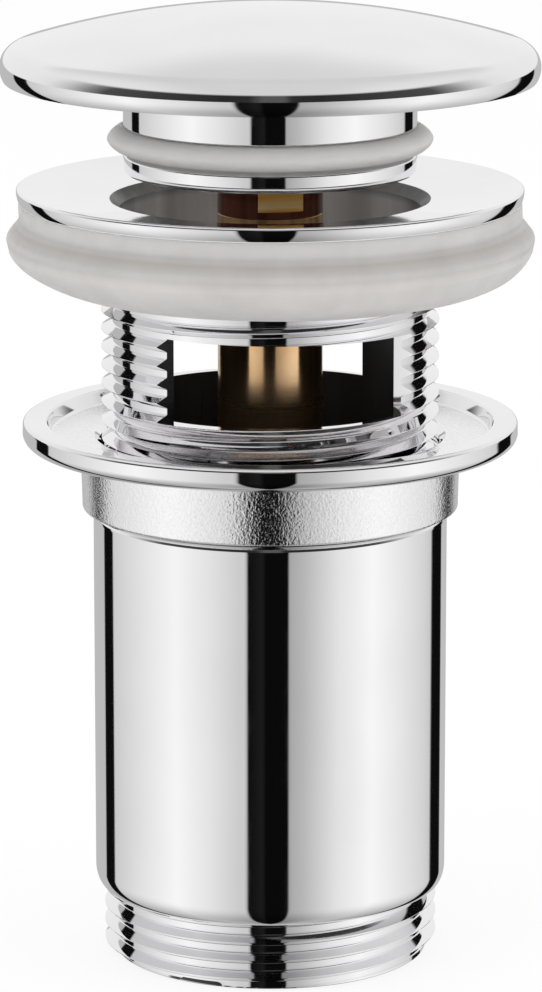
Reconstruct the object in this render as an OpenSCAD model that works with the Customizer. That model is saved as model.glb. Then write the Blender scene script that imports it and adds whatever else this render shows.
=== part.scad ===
// Pop-up basin waste with overflow slots.
// The origin is the centre of the outlet end; +Z runs up the axis to the cap and -Y is the front.
// The plug stands open. Threads are plain cylinders at their major diameter.

/* [Thread] */
// Major diameter of the G 1 1/4 pipe thread on the stem and on the outlet
thread_d = 41.91; // [36:0.01:50]
// Pitch of that thread
thread_pitch = 2.309; // [1.5:0.001:2.6]
// Radial clearance between a threaded stem and what screws onto it
thread_gap = 0.1; // [0.05:0.01:0.3]

/* [Tail pipe] */
// Height of the tail pipe from the outlet end to its top edge
tail_h = 56.8; // [50:0.1:90]
// Length of the thread at the outlet
tail_thread_l = 8.6; // [6:0.1:14]
// Height of the rounded shoulder between that thread and the barrel
shoulder_h = 2.3; // [1:0.1:4]
// Wall of the barrel around the threaded socket
socket_wall = 1; // [0.8:0.1:3]
// Depth of the threaded socket at the top
socket_depth = 11; // [9:0.1:18]
// Wall of the barrel below the socket
barrel_wall = 2.1; // [1.5:0.1:3.4]
// Metal left between the outlet thread's root and the outlet's bore
outlet_wall = 1.45; // [0.8:0.05:2]
// Thickness of the sealing ring at the bottom of the socket
tail_seal_t = 2.4; // [1.6:0.1:3]

/* [Back nut] */
// Diameter of the nut's rolled rim
nut_rim_d = 61.6; // [56:0.1:70]
// Radius of the rolled rim below its widest line
nut_bead_r = 1.5; // [0.9:0.05:1.8]
// Radius of the rolled rim above that line
nut_brow_r = 1.9; // [1.2:0.05:2.2]
// Width of the rim, from its edge to the dish inside it
nut_rim_w = 3.5; // [3.2:0.1:5]
// Depth of the dish below the top of the rim
nut_dish_depth = 2.3; // [1:0.1:2.6]
// Height of the cast collar
nut_collar_h = 7.4; // [5:0.1:14]
// Wall of the cast collar
nut_wall = 2.55; // [2:0.05:4]
// Gap between the nut and the top of the tail pipe
nut_gap = 0.2; // [0.1:0.05:1]

/* [Upper body] */
// Diameter of the flange
flange_d = 62.9; // [58:0.1:72]
// Thickness of the flange at its edge
flange_t = 2.1; // [1.8:0.1:4]
// How far the flange dips from its edge to its mouth
flange_dip = 1.7; // [0.4:0.1:1.8]
// How far the flange's underside dips from its edge to the stem
flange_under = 1.2; // [0.8:0.1:2]
// Stem between the top of the tail pipe and the underside of the flange
stem_shown = 38.6; // [35:0.1:52]
// Metal left between the stem thread's root and the stem's bore
stem_wall = 0.9; // [0.7:0.05:1.5]
// Width of the conical seat around the mouth
seat_w = 1.25; // [0.8:0.05:2]

/* [Overflow windows] */
// Height of each window
window_h = 10.3; // [6:0.1:12]
// Drop from the underside of the flange to the top of the windows
window_drop = 14.55; // [12:0.05:16]
// Width of each window on the outside of the stem
window_w = 31.5; // [18:0.1:34]
// Radius of the disc that milled the windows
cutter_r = 32; // [28:0.5:45]
// Turn of the windows about the axis
window_turn = 6.8; // [-20:0.1:20]

/* [Basin gasket] */
// Height of the silicone gasket
gasket_h = 11; // [8:0.1:12]
// How far its lip stands out past the flange
gasket_overhang = 1.15; // [0.5:0.05:3]
// Depth of the lip below the edge of the flange
gasket_lip_drop = 4.6; // [4:0.1:6]
// Height of the collar between the lip and the flange
gasket_collar_h = 2; // [1:0.1:2.4]
// Clearance between the gasket and the stem
gasket_gap = 0.1; // [0.05:0.05:0.4]

/* [Plug] */
// Travel of the plug from open to closed
plug_travel = 6.35; // [4:0.05:7.5]
// Clearance between the seal and its seat when the plug is closed
seat_gap = 0.3; // [0.2:0.05:0.6]
// Diameter of the cap
cap_d = 66.4; // [60:0.1:74]
// Radius of the cap's dome
dome_r = 107; // [80:1:160]
// Radius of the cap's edge above its widest line
cap_brow_r = 2.8; // [2:0.1:5]
// Radius of the cap's edge below that line
cap_edge_r = 1.25; // [1:0.1:2.4]
// Height of the neck under the cap
neck_h = 11.9; // [10:0.1:14]
// Radial clearance between the neck and the bore that it enters
neck_gap = 0.5; // [0.3:0.05:1]
// Height of the seal in its groove
seal_h = 3.1; // [2.4:0.1:4]
// Height of the land below the seal
seal_land = 2.7; // [1.6:0.1:3]
// How far the seal's nose overlaps the rim of the mouth
seal_lap = 0.28; // [0.15:0.01:0.6]
// Depth of the seal's groove
groove_depth = 2.2; // [1.5:0.1:3]

/* [Click core] */
// Diameter of the brass core
core_d = 13; // [12.4:0.1:16]
// How far the core stands above the edge of the flange
core_rise = 1; // [0.5:0.1:3]
// Height of the core's screwed head
core_head_h = 4.5; // [4:0.1:6]
// Distance across the spanner flats on that head
core_flats = 11.7; // [11:0.1:12]
// Turn of the spanner flats about the axis
flats_turn = 12.5; // [-45:0.5:45]
// Diameter of the plunger's rod
rod_d = 7.2; // [6.4:0.1:7.6]
// Diameter of the plunger's cam
cam_d = 9; // [8.6:0.1:9.2]
// Diameter of the stud on top of the plunger
stud_d = 6; // [5:0.1:6.2]
// Number of lobes in the cam's zig-zag track
cam_lobes = 5; // [4:1:6]
// Diameter of the latch pin
pin_d = 1.6; // [1.2:0.1:1.8]
// Diameter of the spring's wire
wire_d = 1; // [0.7:0.05:1.1]
// Number of turns in the spring
spring_turns = 6; // [5:0.5:7]
// Running clearance between the core's moving pieces
run_gap = 0.05; // [0.03:0.01:0.1]
// Diameter of the core's threaded shank
shank_d = 10; // [8:0.1:10.4]
// Height of the hub that holds the core
hub_h = 8; // [6:0.1:10]
// Thickness of the arms that carry the hub
arm_t = 3; // [2:0.1:5]
// Distance across the flats of the lock nut
lock_nut_af = 15; // [14:0.1:17]
// Height of the lock nut
lock_nut_h = 5; // [4:0.1:7]

/* [Hidden] */
$fn = 96;

chrome = "#d9dbde";
cast_chrome = "#c4c6c9";
brass = "#b8863b";
silicone = "#efeeea";
black_rubber = "#232323";
steel = "#9fa3a6";

eps = 0.01;
break_edge = 0.4; // small edge rounding or chamfer
fine_gap = 0.05; // gap between pieces that are pressed or screwed together

// Thread and the walls inside it
thread_r = thread_d / 2;
thread_h = 0.640327 * thread_pitch;
root_r = thread_r - thread_h;
female_r = thread_r + thread_gap;
outlet_r = root_r - outlet_wall;
bore_r = root_r - stem_wall;

// Tail pipe and nut
barrel_r = female_r + socket_wall;
barrel_bore_r = barrel_r - barrel_wall;
socket_z = tail_h - socket_depth;
shoulder_z = tail_thread_l + shoulder_h;
throat_rise = 2; // outlet's bore above the shoulder
outlet_z = shoulder_z + throat_rise;
outlet_lead = 0.35; // chamfer at the end of the outlet's thread
stem_z = socket_z + tail_seal_t + 2 * fine_gap;
nut_z = tail_h + nut_gap;
collar_r = female_r + nut_wall;
collar_draft = 0.2;
nut_rim_r = nut_rim_d / 2;
nut_under_z = nut_z + nut_collar_h;
nut_slope = 0.7; // rise of the flange's underside from the collar to the rim
nut_bead_z = nut_under_z + nut_slope + nut_bead_r;
nut_top = nut_bead_z + nut_brow_r;
nut_floor_z = nut_top - nut_dish_depth;

// Upper body
flange_r = flange_d / 2;
flange_z = tail_h + stem_shown;
flange_top = flange_z + flange_t;
flange_round = 0.7 * flange_t; // rounding under the edge
mouth_r = bore_r + seat_w;
mouth_z = flange_top - flange_dip;
under_r = flange_r - flange_round; // where the underside starts to dip

// Plug: the closed seat sets where the open plug stands
neck_r = bore_r - neck_gap;
seal_r = mouth_r + seal_lap;
seal_nose = seal_r - neck_r;
seal_touch = acos((mouth_r - neck_r) / seal_nose);
seal_mid = seal_land + seal_h / 2;
neck_z = mouth_z + seat_gap + plug_travel - seal_mid + seal_h / 2 * sin(seal_touch);
neck_top = neck_z + neck_h;
groove_r = neck_r - groove_depth;
cap_r = cap_d / 2;
cap_edge_z = neck_top + cap_edge_r;
dome_z = cap_edge_z - sqrt(pow(dome_r - cap_brow_r, 2) - pow(cap_r - cap_brow_r, 2));
cap_top = dome_z + dome_r;
cap_wall = 2.4; // metal over the hollow under the cap

// Click core
core_r = core_d / 2;
core_top = flange_top + core_rise;
head_z = core_top - core_head_h;
spigot_l = 3.5;
core_wall = 1;
race_r = core_r - core_wall;
rod_r = rod_d / 2;
cam_r = cam_d / 2;
stud_r = stud_d / 2;
stud_l = 4.5; // stud inside the cap
stud_play = 0.5; // hole left above the stud
guide_r = cam_r + run_gap;
pin_r = pin_d / 2;
ring_edge = 0.5; // ring above and below the pin
ring_h = pin_d + 2 * ring_edge;
stop_z = head_z - spigot_l; // underside of the head's spigot, which stops the plunger
cam_top = stop_z - fine_gap;
cam_turn = 180 / cam_lobes; // turn of the ring in one stroke
track_lean = atan(PI * cam_r / cam_lobes / plug_travel); // slope of the track from the axis
track_play = 0.2; // room around the pin in the track
track_depth = 1.25;
track_head = 1; // cam left above the track
track_foot = 3; // cam left below the track
track_half = pin_r / cos(track_lean) + track_play; // half the track's width across the slope
track_r = cam_r - track_depth;
pin_z = cam_top - track_head - track_half - plug_travel;
cam_foot = pin_z - track_half - track_foot;
ring_z = pin_z - ring_h / 2;
race_z = ring_z - fine_gap; // shoulder that the ring turns on
bush_z = ring_z + ring_h + fine_gap;
washer_t = 1;
head_room = 0.4; // between the closed plug's lock washer and the core
cavity_roof = core_top + plug_travel + head_room + washer_t;
neck_wall = 2.3; // metal between the seal's groove and the hollow inside it
cavity_r = groove_r - neck_wall;
rod_seal_section = 0.6;
rod_seal_lift = 1; // head below the rod seal's groove
rod_seal_z = head_z + rod_seal_lift;
rod_seal_h = 2 * (rod_seal_section + fine_gap);

// Bridge and shank
bridge_h = 5;
bridge_lift = 1; // bridge above the end of the stem
bridge_z = stem_z + bridge_lift;
shank_r = shank_d / 2;
hub_wall = 2.2;
hub_r = shank_r + hub_wall;
hub_top = bridge_z + hub_h;
floor_t = 4; // brass under the spring
core_floor = hub_top + floor_t;
washer_z = bridge_z - washer_t;
lock_nut_z = washer_z - lock_nut_h;
shank_tip = 1.5; // shank below the lock nut
shank_z = lock_nut_z - shank_tip;

function arc(cx, cz, r, from, to, n = 8) =
  [for (i = [0:n]) let (a = from + (to - from) * i / n) [cx + r * cos(a), cz + r * sin(a)]];

function ellipse_arc(cx, cz, rx, rz, from, to, n = 12) =
  [for (i = [0:n]) let (a = from + (to - from) * i / n) [cx + rx * cos(a), cz + rz * sin(a)]];

// A closed outline of [radius, height] points turned about the axis
module turned(outline) {
  rotate_extrude() polygon(outline);
}

module ring(inner, outer, z, h) {
  turned([[inner, z], [outer, z], [outer, z + h], [inner, z + h]]);
}

module o_ring(mid_r, section_r, z) {
  rotate_extrude() translate([mid_r, z]) circle(r = section_r, $fn = 48);
}

// The outlet: threaded end, polished barrel and the socket that screws onto the stem
module tail_pipe() {
  color(chrome) turned(concat(
    [[outlet_r, 0], [thread_r - outlet_lead, 0], [thread_r, outlet_lead]],
    ellipse_arc(thread_r, shoulder_z, barrel_r - thread_r, shoulder_h, -90, 0),
    arc(barrel_r - break_edge, tail_h - break_edge, break_edge, 0, 90, 4),
    [[female_r, tail_h], [female_r, socket_z], [barrel_bore_r, socket_z]],
    [[barrel_bore_r, outlet_z + barrel_bore_r - outlet_r], [outlet_r, outlet_z]]
  ));
}

module tail_seal() {
  section = tail_seal_t / 2;
  color(black_rubber) o_ring(female_r - fine_gap - section, section, socket_z + fine_gap + section);
}

// Flanged nut that clamps the basin: cast collar below, dished flange with a rolled rim above
module back_nut() {
  corner = 0.7;
  lead = 0.8;
  wall_lean = 0.5; // of the dish's steep side
  wall_round = 0.3;
  dish_r = nut_rim_r - nut_rim_w;
  color(cast_chrome) turned(concat(
    [[female_r, nut_z + lead], [female_r + lead, nut_z]],
    arc(collar_r - collar_draft - corner, nut_z + corner, corner, -90, 0, 6),
    [[collar_r, nut_under_z]],
    arc(nut_rim_r - nut_bead_r, nut_bead_z, nut_bead_r, -90, -10, 8),
    arc(nut_rim_r - nut_brow_r, nut_bead_z, nut_brow_r, 0, 100, 10),
    [[dish_r + wall_lean, nut_top - wall_round], [dish_r, nut_floor_z]],
    [[female_r + lead, nut_floor_z], [female_r, nut_floor_z - lead]]
  ));
}

// One overflow window, milled by plunging a flat disc into the stem
module window_cut() {
  half = window_w / 2;
  disc_y = -sqrt(pow(thread_r, 2) - pow(half, 2)) - sqrt(pow(cutter_r, 2) - pow(half, 2));
  translate([0, disc_y, flange_z - window_drop - window_h]) cylinder(r = cutter_r, h = window_h);
}

// Underside of the flange at a radius
function under_z(r) = flange_z - flange_under * (under_r - r) / (under_r - thread_r);

// Dished flange and threaded stem with two overflow windows
module upper_body() {
  brow = 0.35;
  color(chrome) difference() {
    turned(concat(
      [[bore_r, stem_z], [root_r, stem_z], [thread_r, stem_z + thread_h]],
      [[thread_r, under_z(thread_r)]],
      arc(under_r, flange_z + flange_round, flange_round, -90, 0, 8),
      arc(flange_r - brow, flange_top - brow, brow, 0, 80, 4),
      arc(mouth_r + break_edge, mouth_z - break_edge, break_edge, 85, 135, 3),
      [[bore_r, mouth_z - seat_w]]
    ));
    for (side = [0, 180]) rotate(window_turn + side) window_cut();
  }
}

// Soft tapered gasket between the flange and the basin
module basin_gasket() {
  inner = thread_r + gasket_gap;
  lip_r = flange_r + gasket_overhang;
  lip_z = flange_z - gasket_lip_drop;
  lip_round = 1.2;
  crease = 0.8;
  collar_in = 0.4; // collar inside the edge of the flange
  gasket_collar_r = flange_r - collar_in;
  taper = 12.4; // reach of the tapered underside, measured in from the lip
  color(silicone) turned(concat(
    [[inner, flange_z - gasket_h]],
    ellipse_arc(lip_r - taper, lip_z, taper, gasket_h - gasket_lip_drop, -78, -12, 12),
    arc(lip_r - lip_round, lip_z, lip_round, 0, 45, 5),
    arc(gasket_collar_r + crease, flange_z - gasket_collar_h, crease, 225, 180, 4),
    [[gasket_collar_r, flange_z], [under_r, flange_z], [inner, under_z(inner)]]
  ));
}

// Domed cap, hollowed underneath around the land that the neck seats on
module cap() {
  edge_mid = cap_r - cap_edge_r;
  brow_mid = cap_r - cap_brow_r;
  dome_end = acos(brow_mid / (dome_r - cap_brow_r));
  land = 1.5; // flat left around the neck and inside the edge
  hollow_in = neck_r + land;
  hollow_out = edge_mid - land;
  hollow_w = hollow_out - hollow_in - 2 * break_edge;
  function roof(r) = [r, dome_z + sqrt(pow(dome_r - cap_wall, 2) - r * r)];
  hole_top = neck_top + stud_l + stud_play;
  color(chrome) turned(concat(
    [[0, cap_top], [0, hole_top], [stud_r + fine_gap, hole_top]],
    [[stud_r + fine_gap, neck_top], [hollow_in, neck_top]],
    [for (i = [0:6]) roof(hollow_in + break_edge + hollow_w * i / 6)],
    [[hollow_out, neck_top]],
    arc(edge_mid, cap_edge_z, cap_edge_r, -90, -10, 8),
    arc(brow_mid, cap_edge_z, cap_brow_r, 0, dome_end, 10),
    arc(0, dome_z, dome_r, dome_end, 90, 24)
  ));
}

// Hollow neck that carries the seal and drops over the head of the core
module plug_neck() {
  foot_round = 0.7;
  corner = 1;
  land_top = neck_z + seal_land;
  color(chrome) turned(concat(
    [[stud_r + fine_gap, cavity_roof], [cavity_r - corner, cavity_roof], [cavity_r, cavity_roof - corner]],
    [[cavity_r, neck_z]],
    arc(neck_r - foot_round, neck_z + foot_round, foot_round, -90, 0, 6),
    [[neck_r, land_top - break_edge], [neck_r - break_edge, land_top], [groove_r, land_top]],
    [[groove_r, land_top + seal_h], [neck_r, land_top + seal_h]],
    [[neck_r, neck_top], [stud_r + fine_gap, neck_top]]
  ));
}

// Silicone ring whose rounded nose closes on the seat
module plug_seal() {
  half = seal_h / 2 - fine_gap;
  color(silicone) turned(concat(
    [[groove_r + fine_gap, neck_z + seal_mid + half], [groove_r + fine_gap, neck_z + seal_mid - half]],
    ellipse_arc(neck_r, neck_z + seal_mid, seal_nose, half, -90, 90, 16)
  ));
}

module plug_lock_washer() {
  lap = 1;
  color(steel) ring(stud_r + fine_gap, rod_r + lap, cavity_roof - washer_t, washer_t);
}

// One slope of the zig-zag track, wide enough for the pin and turning as it climbs
module track_slope(turn) {
  climb = plug_travel + 2 * track_half;
  spare = turn * track_half / plug_travel;
  translate([0, 0, pin_z - track_half]) rotate(-spare)
    linear_extrude(height = climb, twist = -turn - 2 * spare, slices = 8, $fn = 4)
      translate([track_r, -track_half]) square([2 * track_depth, 2 * track_half]);
}

// Brass plunger: stud into the cap, rod, and the cam whose track holds the plug open or shut
module plunger() {
  pilot_r = 2.4;
  pilot_h = 2;
  rod_top = cavity_roof - washer_t;
  stud_top = neck_top + stud_l;
  color(brass) difference() {
    turned([
      [0, cam_foot - pilot_h], [pilot_r, cam_foot - pilot_h], [pilot_r, cam_foot], [cam_r, cam_foot],
      [cam_r, cam_top], [rod_r, cam_top], [rod_r, rod_top], [stud_r, rod_top],
      [stud_r, stud_top - break_edge], [stud_r - break_edge, stud_top], [0, stud_top]
    ]);
    for (lobe = [0:cam_lobes - 1]) rotate(lobe * 2 * cam_turn) {
      track_slope(cam_turn);
      track_slope(-cam_turn);
    }
  }
}

// Brass barrel of the click core, with the race for the latch ring and a shank into the bridge
module core_housing() {
  color(brass) turned([
    [0, shank_z], [shank_r - break_edge, shank_z], [shank_r, shank_z + break_edge], [shank_r, hub_top],
    [core_r - break_edge, hub_top], [core_r, hub_top + break_edge], [core_r, head_z], [race_r, head_z],
    [race_r, race_z], [guide_r, race_z], [guide_r, core_floor], [0, core_floor]
  ]);
}

// Screwed head that closes the core, with spanner flats and a groove for the rod seal
module core_head() {
  hole_r = rod_r + run_gap;
  groove_out = hole_r + rod_seal_h;
  groove_top = rod_seal_z + rod_seal_h;
  flat_step = 0.9; // round part left under the flats
  color(brass) difference() {
    turned([
      [hole_r, stop_z], [race_r - fine_gap, stop_z], [race_r - fine_gap, head_z], [core_r, head_z],
      [core_r, core_top - break_edge], [core_r - break_edge, core_top], [hole_r, core_top],
      [hole_r, groove_top], [groove_out, groove_top], [groove_out, rod_seal_z], [hole_r, rod_seal_z]
    ]);
    for (side = [0, 180]) rotate(flats_turn + side)
      translate([-core_r, -core_r - core_flats / 2, head_z + flat_step]) cube([core_d, core_r, core_head_h]);
  }
}

module rod_seal() {
  mid_r = rod_r + run_gap + rod_seal_h / 2;
  color(black_rubber) o_ring(mid_r, rod_seal_section, rod_seal_z + rod_seal_h / 2);
}

module guide_bush() {
  color(brass) ring(guide_r, race_r - fine_gap, bush_z, stop_z - fine_gap - bush_z);
}

// Ring that the cam turns by half a lobe at each stroke
module latch_ring() {
  color(brass) difference() {
    ring(guide_r + run_gap, race_r - run_gap, ring_z, ring_h);
    latch_pin_hole();
  }
}

module latch_pin_hole() {
  translate([0, 0, pin_z]) rotate([0, 90, 0]) cylinder(r = pin_r, h = core_r);
}

// Pin pressed through the ring into the cam's track
module latch_pin() {
  inner = track_r + track_play;
  outer = race_r - 3 * run_gap;
  color(steel) translate([inner, 0, pin_z]) rotate([0, 90, 0]) cylinder(r = pin_r, h = outer - inner);
}

// Compression spring that lifts the plug
module plug_spring() {
  wire_r = wire_d / 2;
  side_gap = 0.25;
  mean_r = guide_r - side_gap - wire_r;
  low = core_floor + fine_gap + wire_r;
  high = cam_foot - fine_gap - wire_r;
  sides = 6;
  per_turn = 16;
  steps = per_turn * spring_turns;
  points = [for (i = [0:steps], k = [0:sides - 1])
    let (a = 360 * spring_turns * i / steps, b = 360 * k / sides, r = mean_r + wire_r * cos(b))
      [r * cos(a), r * sin(a), low + (high - low) * i / steps + wire_r * sin(b)]];
  walls = [for (i = [0:steps - 1], k = [0:sides - 1])
    let (a = i * sides + k, b = i * sides + (k + 1) % sides) [a, b, b + sides, a + sides]];
  ends = [[for (k = [sides - 1:-1:0]) k], [for (k = [0:sides - 1]) steps * sides + k]];
  color(steel) polyhedron(points, concat(walls, ends), convexity = 10);
}

// Spider pressed into the end of the stem, which holds the core in the waterway
module core_bridge() {
  outer = bore_r - fine_gap;
  band = 2;
  overlap = 1;
  arm_root = hub_r - overlap;
  arm_l = outer - band + overlap - arm_root;
  color(cast_chrome) difference() {
    union() {
      ring(outer - band, outer, bridge_z, bridge_h);
      for (turn = [90, 210, 330]) rotate(turn)
        translate([arm_root, -arm_t / 2, bridge_z]) cube([arm_l, arm_t, bridge_h]);
      translate([0, 0, bridge_z]) cylinder(r = hub_r, h = hub_h);
    }
    translate([0, 0, bridge_z - eps]) cylinder(r = shank_r + fine_gap, h = hub_h + 2 * eps);
  }
}

module core_washer() {
  lap = 0.6;
  color(steel) ring(shank_r + 2 * fine_gap, hub_r + lap, washer_z, washer_t);
}

module core_lock_nut() {
  color(brass) difference() {
    translate([0, 0, lock_nut_z]) cylinder(d = lock_nut_af / cos(30), h = lock_nut_h, $fn = 6);
    translate([0, 0, lock_nut_z - eps]) cylinder(r = shank_r + fine_gap, h = lock_nut_h + 2 * eps);
  }
}

tail_pipe();
tail_seal();
back_nut();
upper_body();
basin_gasket();
cap();
plug_neck();
plug_seal();
plug_lock_washer();
plunger();
core_housing();
core_head();
rod_seal();
guide_bush();
latch_ring();
latch_pin();
plug_spring();
core_bridge();
core_washer();
core_lock_nut();
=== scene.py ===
import math

import bmesh
import bpy
import numpy as np
from mathutils import Matrix, Vector, noise


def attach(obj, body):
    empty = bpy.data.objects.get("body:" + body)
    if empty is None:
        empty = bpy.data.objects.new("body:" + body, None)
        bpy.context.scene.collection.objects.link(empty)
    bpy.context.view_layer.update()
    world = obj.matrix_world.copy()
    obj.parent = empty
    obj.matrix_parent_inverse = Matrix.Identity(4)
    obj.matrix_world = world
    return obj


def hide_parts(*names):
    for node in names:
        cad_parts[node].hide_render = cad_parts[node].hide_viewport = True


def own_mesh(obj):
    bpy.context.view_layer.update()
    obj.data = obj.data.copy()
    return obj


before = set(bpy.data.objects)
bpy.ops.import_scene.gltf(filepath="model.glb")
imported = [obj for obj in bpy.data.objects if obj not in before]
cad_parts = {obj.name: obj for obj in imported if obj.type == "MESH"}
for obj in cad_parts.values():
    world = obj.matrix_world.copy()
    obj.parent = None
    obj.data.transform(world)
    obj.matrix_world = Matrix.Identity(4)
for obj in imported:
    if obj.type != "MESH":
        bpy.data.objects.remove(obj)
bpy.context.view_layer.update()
mm = 0.001
print("frame loaded,", len(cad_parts), "nodes")

thread = {  # G 1 1/4 pipe thread, right-hand
    "r": 20.955,
    "pitch": 2.309,
    "depth": 1.4785,
    # pitches from the crest and share of the depth cut there
    "form": [(-0.5, 1.0), (-0.345, 1.0), (-0.315, 0.955), (-0.29, 0.885), (-0.03, 0.055), (-0.012, 0.0),
             (0.012, 0.0), (0.03, 0.055), (0.29, 0.885), (0.315, 0.955), (0.345, 1.0)],
    "foot": 0.1,  # chamfer on the end face, below the lead-in
    "leadRise": 1.2,  # from the end face to the top of the lead-in
    "weld": 0.0005,  # points closer than this are one
}


# outlines and turned meshes

def filletOutline(corners, steps=6):
    # corners are (r, z) or (r, z, fillet) round a closed section
    outline = []
    for i, corner in enumerate(corners):
        here = np.array(corner[:2], float)
        fillet = corner[2] if len(corner) > 2 else 0
        if fillet <= 0:
            outline.append(here)
            continue
        back = np.array(corners[i - 1][:2], float) - here
        ahead = np.array(corners[(i + 1) % len(corners)][:2], float) - here
        backLength, aheadLength = np.linalg.norm(back), np.linalg.norm(ahead)
        back, ahead = back / backLength, ahead / aheadLength
        half = math.acos(float(np.clip(back @ ahead, -1, 1))) / 2
        reach = min(fillet / math.tan(half), 0.49 * backLength, 0.49 * aheadLength)
        radius = reach * math.tan(half)
        middle = back + ahead
        centre = here + middle / np.linalg.norm(middle) * radius / math.sin(half)
        start, end = here + back * reach - centre, here + ahead * reach - centre
        first = math.atan2(start[1], start[0])
        sweep = (math.atan2(end[1], end[0]) - first + math.pi) % (2 * math.pi) - math.pi
        for step in range(steps + 1):
            a = first + sweep * step / steps
            outline.append(centre + radius * np.array((math.cos(a), math.sin(a))))
    return outline


def arcPoints(centreR, centreZ, radiusR, radiusZ, fromDeg, toDeg, steps):
    return [
        np.array((centreR + radiusR * math.cos(a), centreZ + radiusZ * math.sin(a)))
        for a in np.radians(np.linspace(fromDeg, toDeg, steps + 1))
    ]


def holdEdges(outline, closed=True, hold=0.1, stretch=3.0):
    # rows close to each end of a long run keep its shading flat right up to the rounding
    held = []
    count = len(outline)
    for i in range(count if closed else count - 1):
        a, b = np.array(outline[i]), np.array(outline[(i + 1) % count])
        length = float(np.linalg.norm(b - a))
        held.append(a)
        if length > 5 * hold:
            for share in np.linspace(hold / length, 1 - hold / length, max(2, int(length / stretch) + 2)):
                held.append(a + (b - a) * share)
    if not closed:
        held.append(np.array(outline[-1]))
    return np.array(held)


def meshPiece(name, points, faces, sharpDeg=34):
    mesh = bpy.data.meshes.new(name)
    mesh.from_pydata(points.tolist(), [], faces)
    mesh.validate()
    piece = bpy.data.objects.new(name, mesh)
    bpy.context.scene.collection.objects.link(piece)
    shadePiece(piece, sharpDeg)
    return piece


def shadePiece(piece, sharpDeg=34):
    mesh = piece.data
    mesh.polygons.foreach_set("use_smooth", np.ones(len(mesh.polygons), bool))
    mesh.set_sharp_from_angle(angle=math.radians(sharpDeg))
    mesh.update()


def turnPiece(name, outline, closed=True, segments=256, shape=None, sharpDeg=34):
    # the outline runs with the metal on its left; shape may move each point of the grid
    outline = np.asarray(outline, float)
    rows = len(outline)
    angles = np.linspace(0, 2 * math.pi, segments, endpoint=False)
    theta = np.tile(angles, (rows, 1))
    r = np.repeat(outline[:, :1], segments, axis=1)
    z = np.repeat(outline[:, 1:], segments, axis=1)
    if shape:
        r, z = shape(theta, r, z)
    points = np.stack((r * np.cos(theta), r * np.sin(theta), z), -1)
    firstIndex, store = [], []
    for i in range(rows):  # a row on the axis is one point
        firstIndex.append(sum(len(s) for s in store))
        store.append(points[i, :1] if outline[i, 0] < 1e-6 else points[i])
    faces = []
    for i in range(rows if closed else rows - 1):
        k = (i + 1) % rows
        low, high = firstIndex[i], firstIndex[k]
        lowPole, highPole = len(store[i]) == 1, len(store[k]) == 1
        for j in range(segments):
            n = (j + 1) % segments
            if lowPole:
                faces.append((low, high + n, high + j))
            elif highPole:
                faces.append((low + j, low + n, high))
            else:
                faces.append((low + j, low + n, high + n, high + j))
    return meshPiece(name, np.concatenate(store) * mm, faces, sharpDeg)


def threadPiece(name, rest, zStart, zEnd, endCut, segments=288, sharpDeg=34):
    # the thread's rows climb with the helix; rest is the outline from its top round to its foot
    pitch, perPitch = thread["pitch"], len(thread["form"])
    turns = range(int(zStart / pitch) - 2, int(zEnd / pitch) + 4)
    phase = np.array([[turn + place] for turn in turns for place, share in thread["form"]])
    share = np.array([[share] for turn in turns for place, share in thread["form"]])
    theta = np.linspace(0, 2 * math.pi, segments, endpoint=False)[None, :]
    z = np.clip(pitch * (phase + theta / (2 * math.pi)), zStart, zEnd)
    r = thread["r"] - np.maximum(thread["depth"] * share * (z < zEnd - 0.001), endCut(z))
    r = np.where(z <= zStart, thread["r"] - endCut(np.array(zStart)), r)
    r = np.where(z >= zEnd, thread["r"] - endCut(np.array(zEnd)), r)
    skin = np.stack((r * np.cos(theta), r * np.sin(theta), z), -1)
    rows = len(skin)
    faces = []
    for i in range(rows - 1):
        here, above = i * segments, (i + 1) * segments
        for j in range(segments - 1):
            faces.append((here + j, here + j + 1, above + j + 1, above + j))
        # one turn on is one pitch up
        low, high = min(i + perPitch, rows - 1), min(i + 1 + perPitch, rows - 1)
        faces.append((here + segments - 1, low * segments, high * segments, above + segments - 1))
    other = turnPiece(name, rest, closed=False, segments=segments)
    points = np.array([v.co for v in other.data.vertices])
    faces += [tuple(k + rows * segments for k in poly.vertices) for poly in other.data.polygons]
    bpy.data.objects.remove(other)
    piece = meshPiece(name, np.concatenate((skin.reshape(-1, 3) * mm, points)), faces, sharpDeg)
    work = bmesh.new()
    work.from_mesh(piece.data)
    bmesh.ops.remove_doubles(work, verts=work.verts, dist=thread["weld"] * mm)
    work.to_mesh(piece.data)
    work.free()
    shadePiece(piece, sharpDeg)
    return piece


def combine(piece, other, operation):
    modifier = piece.modifiers.new("combine", "BOOLEAN")
    modifier.operation = operation
    modifier.solver = "EXACT"
    modifier.object = other
    applyModifiers(piece)
    bpy.data.objects.remove(other)
    shadePiece(piece)


def applyModifiers(piece):
    graph = bpy.context.evaluated_depsgraph_get()
    made = bpy.data.meshes.new_from_object(piece.evaluated_get(graph))
    piece.modifiers.clear()
    piece.data = made


def blockPiece(name, low, high, turnDeg):
    foot = ((low[0], low[1]), (high[0], low[1]), (high[0], high[1]), (low[0], high[1]))
    corners = np.array([(x, y, z) for z in (low[2], high[2]) for x, y in foot], float)
    a = math.radians(turnDeg)
    spin = np.array(((math.cos(a), -math.sin(a), 0), (math.sin(a), math.cos(a), 0), (0, 0, 1)))
    faces = [(3, 2, 1, 0), (4, 5, 6, 7), (0, 1, 5, 4), (1, 2, 6, 5), (2, 3, 7, 6), (3, 0, 4, 7)]
    return meshPiece(name, corners @ spin.T * mm, faces)


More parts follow.
